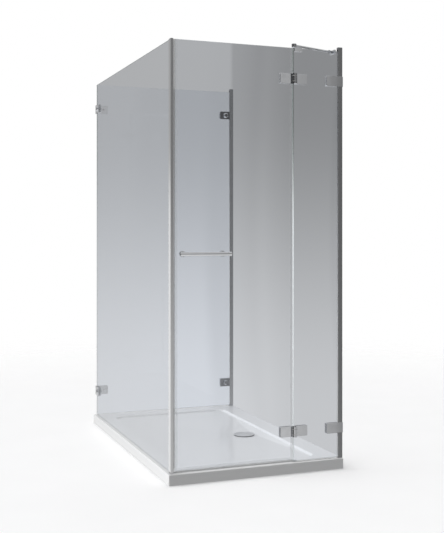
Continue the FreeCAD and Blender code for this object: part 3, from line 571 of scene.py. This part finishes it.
# %% Profile gaskets
# Painted light at the gaskets' foot and painted shade at their top.
GASKET_FOOT_PALE_WITH_PAINTED_LIGHT = (0.88, 0.88, 0.88)
GASKET_TOP_PAINTED_SHADE = (0.26, 0.26, 0.265)
GASKET_PAINTED_SHADING = (0.2, 1.8)


def profile_gasket():
    """Pale vinyl with painted light at its foot and painted shade at its top, with the mouldings' grain."""
    material, wire = start_finish("wall_profile_gaskets_finish")
    place = place_on_piece(wire)
    grain = clouds(place, GRAIN)
    height = split(place)[2]
    end_finish(wire, principled(wire, {
        "Base Color": blend(step_up(height, *GASKET_PAINTED_SHADING), GASKET_FOOT_PALE_WITH_PAINTED_LIGHT, GASKET_TOP_PAINTED_SHADE),
        "Roughness": RUBBER_DULLNESS + GRAIN_DULLNESS * grain,
        "Normal": relief(grain, GRAIN_STRENGTH, GRAIN_DEPTH)}))
    return material


finishes["wall_profile_gaskets"] = profile_gasket()
print("finishes in all:", len(finishes))

# %% [markdown]
# ## Dress the CAD nodes
#
# The record names a material slot for every node. A node takes the finish made for it alone, such as a
# pane or the drain cover, and otherwise the one of its slot. Light falls through clear pieces as if they
# weren't there: they throw no shadow and bounced light passes them.

# %% Dress the CAD nodes
slot_of = {piece["node"]: piece["material_slot"] for piece in frame["record"]["subparts"]}
for name, piece in nodes.items():
    piece.data.materials.clear()
    piece.data.materials.append(finishes.get(name) or finishes[slot_of[name]])
    see_through = name in PANES or "seal" in name
    piece.visible_shadow = not see_through
    piece.visible_diffuse = not see_through
print("nodes dressed:", len(nodes))

# %% [markdown]
# ## From grid to mesh
#
# New pieces are surfaces on a grid of rows and columns, worked out as whole arrays. Each row closes on
# itself, as a turned shape does. The faces are worked out as arrays too: a face joins a point to its
# neighbours along the row and along the column.

# %% From grid to mesh
MERGE_GAP = 1e-6
SHARP_EDGE = 30.0


def grid_mesh(name, grids):
    """One mesh over a stack of grids.

    A four-sided face lies between each two rows and two columns, and the last column joins the first.
    Points that fall together, such as a grid's pole, are merged, and faces are turned outwards.
    """
    count, rows, columns = grids.shape[:3]
    index = np.arange(count * rows * columns).reshape(count, rows, columns)
    index = np.concatenate([index, index[:, :, :1]], axis=2)
    corners = [index[:, :-1, :-1], index[:, :-1, 1:], index[:, 1:, 1:], index[:, 1:, :-1]]
    mesh = bpy.data.meshes.new(name)
    mesh.from_pydata(grids.reshape(-1, 3), [], np.stack(corners, axis=-1).reshape(-1, len(corners)))
    shape = bmesh.new()
    shape.from_mesh(mesh)
    bmesh.ops.remove_doubles(shape, verts=shape.verts, dist=MERGE_GAP)
    bmesh.ops.recalc_face_normals(shape, faces=shape.faces)
    shape.to_mesh(mesh)
    shape.free()
    mesh.shade_smooth()
    mesh.set_sharp_from_angle(angle=math.radians(SHARP_EDGE))
    return mesh


def add_object(name, grids):
    """An object at the origin with the mesh of a stack of grids."""
    made = bpy.data.objects.new(name, grid_mesh(name, grids))
    bpy.context.scene.collection.objects.link(made)
    return made


print("points closer than this are merged, in metres:", MERGE_GAP)

# %% [markdown]
# ## Shape of a socket screw
#
# Inside the cabin each hinge plate is held by two stainless screws with a hexagon socket. The socket could
# be cut out with a boolean, but turning needs no cutting: a profile of radius and depth goes round the
# screw's axis, as on a lathe, and two rows of the profile are hexagons. A hexagon's radius is its half
# width over the cosine of the angle from the middle of the nearest flat.

# %% Shape of a socket screw
SCREW_STEPS = 48
HEXAGON_SIDES = 6
SOCKET_HALF_WIDTH = 0.002
SOCKET_DEPTH = 0.002
SOCKET_CHAMFER = 0.0003
HEAD_RADIUS = 0.005
HEAD_HEIGHT = 0.003
HEAD_BEVEL = 0.0006
SHANK_RADIUS = 0.003
TIP_BEVEL = 0.0006

half_flat = math.pi / HEXAGON_SIDES


def screw_profile(length):
    """Rows of radius, depth below the head's face, and one if the row is a hexagon."""
    rim = SOCKET_HALF_WIDTH / math.cos(half_flat) + SOCKET_CHAMFER
    return np.array([
        (0, SOCKET_DEPTH, 0), (SOCKET_HALF_WIDTH, SOCKET_DEPTH, 1), (SOCKET_HALF_WIDTH, SOCKET_CHAMFER, 1),
        (rim, 0, 0), (HEAD_RADIUS - HEAD_BEVEL, 0, 0), (HEAD_RADIUS, HEAD_BEVEL, 0),
        (HEAD_RADIUS, HEAD_HEIGHT, 0), (SHANK_RADIUS, HEAD_HEIGHT, 0), (SHANK_RADIUS, length - TIP_BEVEL, 0),
        (SHANK_RADIUS - TIP_BEVEL, length, 0), (0, length, 0)])


def turned_screw(face_centre, length):
    """A grid round an axis along Y.

    Across the axis it is radius times the cosine and sine of the angle. Along it, it is the face's Y less
    the depth.
    """
    radius, depth, hexagon = screw_profile(length).T[:, :, None]
    angle = np.linspace(0, 2 * np.pi, SCREW_STEPS, endpoint=False)[None, :]
    from_flat = (angle + half_flat) % (2 * half_flat) - half_flat
    radius = radius * (1 - hexagon + hexagon / np.cos(from_flat))
    return np.stack([
        face_centre[0] + radius * np.cos(angle), face_centre[1] - depth + 0 * angle,
        face_centre[2] + radius * np.sin(angle)], axis=-1)


print("degrees from the middle of a flat to its corner:", math.degrees(half_flat))

# %% [markdown]
# ## Socket screws
#
# Each of the two CAD nodes holds four screws, a pair at the lower hinge and a pair at the upper one. The
# node's box gives their places, so the turned screws sit exactly in the plates' holes. They take the
# plain solids' place and ride with the same body.

# %% Socket screws
SCREW_SPACING = 0.026


def turn_screws(node, body):
    """The four screws of a node, at the places that its box gives, as one piece that stands in for it."""
    low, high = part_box(node)
    lowest, highest = low[2] + HEAD_RADIUS, high[2] - HEAD_RADIUS
    heights = [lowest, lowest + SCREW_SPACING, highest - SCREW_SPACING, highest]
    middle = (low[0] + high[0]) / 2
    grids = [turned_screw((middle, high[1], height), high[1] - low[1]) for height in heights]
    made = add_object("turned_" + node, np.array(grids))
    made.data.materials.append(finishes["stainless"])
    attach(made, body)
    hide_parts(node)
    return made


for node, body in (("hinge_door_screws", "door"), ("hinge_fixed_screws", "cabin")):
    screws = turn_screws(node, body)
    print(screws.name, "faces:", len(screws.data.polygons))

# %% [markdown]
# ## Floor
#
# The floor is a pale disc. A square would show its corners, and a disc can fade out evenly, so that no line
# shows where floor ends and backdrop begins, from any side. Only the camera sees it: in mirrors, through
# glass and for bounced light the studio round the cabin stands in.

# %% Floor
FLOOR_RADIUS = 6.0
FLOOR_FADE_START = 1.6
FLOOR_FADE_END = 5.4
FLOOR_RINGS = 24
FLOOR_SPOKES = 96
FLOOR_DROP = 0.0005
FLOOR_PALE = (0.93, 0.93, 0.935)
FLOOR_SHADE = (0.90, 0.90, 0.905)
FLOOR_CLOUDS = 3.0
FLOOR_DULLNESS = 0.8


def floor_disc():
    """Polar grid: a point is radius times the cosine and sine of its angle."""
    radius = np.linspace(0, FLOOR_RADIUS, FLOOR_RINGS)[:, None]
    angle = np.linspace(0, 2 * np.pi, FLOOR_SPOKES, endpoint=False)[None, :]
    height = np.full((FLOOR_RINGS, FLOOR_SPOKES), -FLOOR_DROP)
    return np.stack([radius * np.cos(angle), radius * np.sin(angle), height], axis=-1)


def pale_floor():
    """Matt pale floor that turns see-through towards the disc's edge."""
    material, wire = start_finish("pale_floor_finish")
    place = place_on_piece(wire)
    distance = place.node("ShaderNodeVectorMath", {"operation": "LENGTH"}, {0: place}, out="Value")
    fade = step_up(distance, FLOOR_FADE_START, FLOOR_FADE_END)
    matt = principled(wire, {
        "Base Color": blend(clouds(place, FLOOR_CLOUDS), FLOOR_PALE, FLOOR_SHADE),
        "Roughness": FLOOR_DULLNESS})
    clear = wire.node("ShaderNodeBsdfTransparent")
    end_finish(wire, wire.node("ShaderNodeMixShader", None, {"Fac": fade, 1: matt, 2: clear}))
    return material


floor = add_object("studio_floor", floor_disc()[None])
floor.data.materials.append(pale_floor())
floor.visible_glossy = False
floor.visible_diffuse = False
floor.visible_transmission = False
print("floor faces:", len(floor.data.polygons))

# %% [markdown]
# ## Studio light
#
# Soft light from all round could come from large lamps. Here it is the world itself, as in a white tent,
# so that no lamp shows in the glass. A ray's direction has three parts: right, back and up. The tent is a
# sum of soft steps of these: bright on the left and overhead, softer behind and dim in front, so that the
# tray's left side glows and its front stays grey. This is the light that falls on matt pieces.

# %% Studio light
BELOW = (-0.10, 0.18)
FAR_LEFT = (0.55, 0.90)
OVERHEAD = (0.50, 0.90)
NOT_IN_FRONT = (-0.50, 0.20)
REAR = (0.30, 0.70)
TENT_HIGH, TENT_LOW = 0.20, 0.35
TENT_LEFT, TENT_ABOVE = 2.2, 2.05
TENT_REAR, TENT_REAR_LOW = 0.15, 0.45


def towards(light, level, share):
    """The light, drawn towards another level by a share from zero to one."""
    return light + share * (level - light)


world = bpy.data.worlds.new("studio")
bpy.context.scene.world = world
world.use_nodes = True
world.node_tree.nodes.clear()
sky = Wire(world.node_tree)
right, back, up = split(sky.node("ShaderNodeTexCoord", out="Generated"))
below = step_up(-up, *BELOW)
left = step_up(-right, *FAR_LEFT)
rear = step_up(back, *REAR)
tent = towards(TENT_HIGH, TENT_LOW, below) + TENT_LEFT * left
tent = tent + TENT_ABOVE * step_up(up, *OVERHEAD) * step_up(back, *NOT_IN_FRONT)
tent = tent + rear * (TENT_REAR + TENT_REAR_LOW * below)
print("tent nodes:", len(world.node_tree.nodes))

# %% [markdown]
# ## What the chrome mirrors
#
# Polished metal shows what stands round it, so a photographer lights it apart, with a plain surround and
# with cards. The same is done here with a second light, which only mirrored rays see. This cell makes its
# surround: dim in front and on the left, paler towards the floor, behind and above. Only the floor to the
# right stays dark, so that the brace and the upper fittings have dark undersides.

# %% What the chrome mirrors
MIRROR_HIGH, MIRROR_LOW = 0.16, 0.56
MIRROR_LEFT_DARK_SHARE = 0.8
MIRROR_REAR, MIRROR_REAR_LOW = 0.42, 0.22
MIRROR_ABOVE, HALF_WAY_UP = 0.40, (0.20, 0.50)
FLOORWARDS, FLOOR_END = (0.28, 0.50), (0.38, 0.42)

floorwards = step_up(-up, *FLOORWARDS)
lit = 1 - floorwards * step_up(right, *FLOOR_END)
mirror = towards(MIRROR_HIGH, MIRROR_LOW, below * lit) * (1 - MIRROR_LEFT_DARK_SHARE * left)
mirror = towards(mirror, MIRROR_REAR + MIRROR_REAR_LOW * below, rear)
mirror = mirror + MIRROR_ABOVE * step_up(up, *HALF_WAY_UP)
print("tent and mirror nodes:", len(world.node_tree.nodes))

# %% [markdown]
# ## Cards in front
#
# A flat plate that faces the camera mirrors one narrow bearing in front of the cabin. So a card that stands
# there sets the tone of that fitting alone. From left to right, the corner card is seen in the rear corner
# brackets, the dark card in the rear brackets, and the pale card in the hinges and the front brackets. Each
# card is a step of the ray's direction, and a later card hides an earlier one.

# %% Cards in front
FRONT = (0.50, 0.70)
CORNER_CARD, CORNER_CARD_START, CORNER_CARD_END = 0.48, (0.205, 0.215), (0.26, 0.28)
DARK_CARD, DARK_CARD_START = 0.07, (0.335, 0.350)
DARK_CARD_FOOT, DARK_CARD_TOP = (0.10, 0.30), (0.16, 0.30)
PALE_CARD, PALE_CARD_LOW, PALE_CARD_FADE_SHARE = 0.49, 0.13, 0.24
PALE_CARD_START, PALE_CARD_FADE, PALE_CARD_END = (0.385, 0.40), (0.412, 0.432), (0.460, 0.466)

front = step_up(-back, *FRONT)
corner_card = front * (step_up(right, *CORNER_CARD_START) - step_up(right, *CORNER_CARD_END))
mirror = towards(mirror, CORNER_CARD, corner_card)
dark_card = front * step_up(right, *DARK_CARD_START) * (1 - step_up(-up, *DARK_CARD_FOOT))
dark_card = dark_card * (1 - step_up(up, *DARK_CARD_TOP))
mirror = towards(mirror, DARK_CARD, dark_card)
pale = (PALE_CARD + PALE_CARD_LOW * below) * (1 - PALE_CARD_FADE_SHARE * step_up(right, *PALE_CARD_FADE))
pale = towards(pale, MIRROR_HIGH, step_up(right, *PALE_CARD_END))
mirror = towards(mirror, pale, front * step_up(right, *PALE_CARD_START))
print("nodes with the front cards:", len(world.node_tree.nodes))

# %% [markdown]
# ## Strip card and floor glow
#
# The corner post's left face is the brightest line of the cabin. It mirrors a narrow bearing to the rear
# left, so a bright upright strip stands there, between two sides that lean with the bearing. The undersides
# of round pieces mirror the floor, which gets a glow of its own.

# %% Strip card and floor glow
STRIP_CARD, STRIP_TURN, STRIP_WIDTH = 1.2, 0.319, 0.20
STRIP_SIDE, STRIP_TOP = (0, 0.002), (-0.10, -0.01)
FLOOR_GLOW = 0.22

leftwards = -right - STRIP_TURN * back
strip = step_up(leftwards, *STRIP_SIDE) * (1 - step_up(leftwards - STRIP_WIDTH * back, *STRIP_SIDE))
strip = strip * rear * step_up(-up, *STRIP_TOP)
mirror = towards(mirror, STRIP_CARD, strip) + FLOOR_GLOW * floorwards * lit
print("nodes with all cards:", len(world.node_tree.nodes))

# %% [markdown]
# ## What the camera sees
#
# The camera sees a plain white backdrop. Seen through glass, the backdrop is greyer: light near the floor
# and darker towards the top. Past one bearing, behind the rear profile, it drops by a step and fades
# further. A Light Path node tells the kinds of ray apart: camera rays see the backdrop, rays through glass
# the grey one, mirrored rays the cards, and all others the tent.

# %% What the camera sees
BACKDROP = 1.0
BACKDROP_LOW, BACKDROP_HIGH, BACKDROP_RISE = 0.80, 0.46, (-0.20, 0.15)
TURN_BEARING = 0.3946
TURN_DROP, TURN_EDGE = 0.10, (-0.003, 0.003)
TURN_FADE, TURN_SPAN = 0.10, (0, 0.07)

rays = sky.node("ShaderNodeLightPath").socket.node.outputs
seen, glazed, bounces = [
    Wire(sky.tree, rays[name]) for name in ("Is Camera Ray", "Is Transmission Ray", "Glossy Depth")]
bounced = sky.math("MINIMUM", bounces, 1)
glazed = glazed * (1 - bounced)
past_turn = right - TURN_BEARING * back
through = towards(BACKDROP_LOW, BACKDROP_HIGH, step_up(up, *BACKDROP_RISE))
through = through - TURN_DROP * step_up(past_turn, *TURN_EDGE) - TURN_FADE * step_up(past_turn, *TURN_SPAN)
light = seen * BACKDROP + glazed * through + (1 - seen - glazed) * towards(tent, mirror, bounced)
background = sky.node("ShaderNodeBackground", None, {"Color": light})
sky.node("ShaderNodeOutputWorld", None, {"Surface": background})
bpy.context.scene.view_settings.view_transform = "Standard"
print("studio nodes:", len(world.node_tree.nodes))
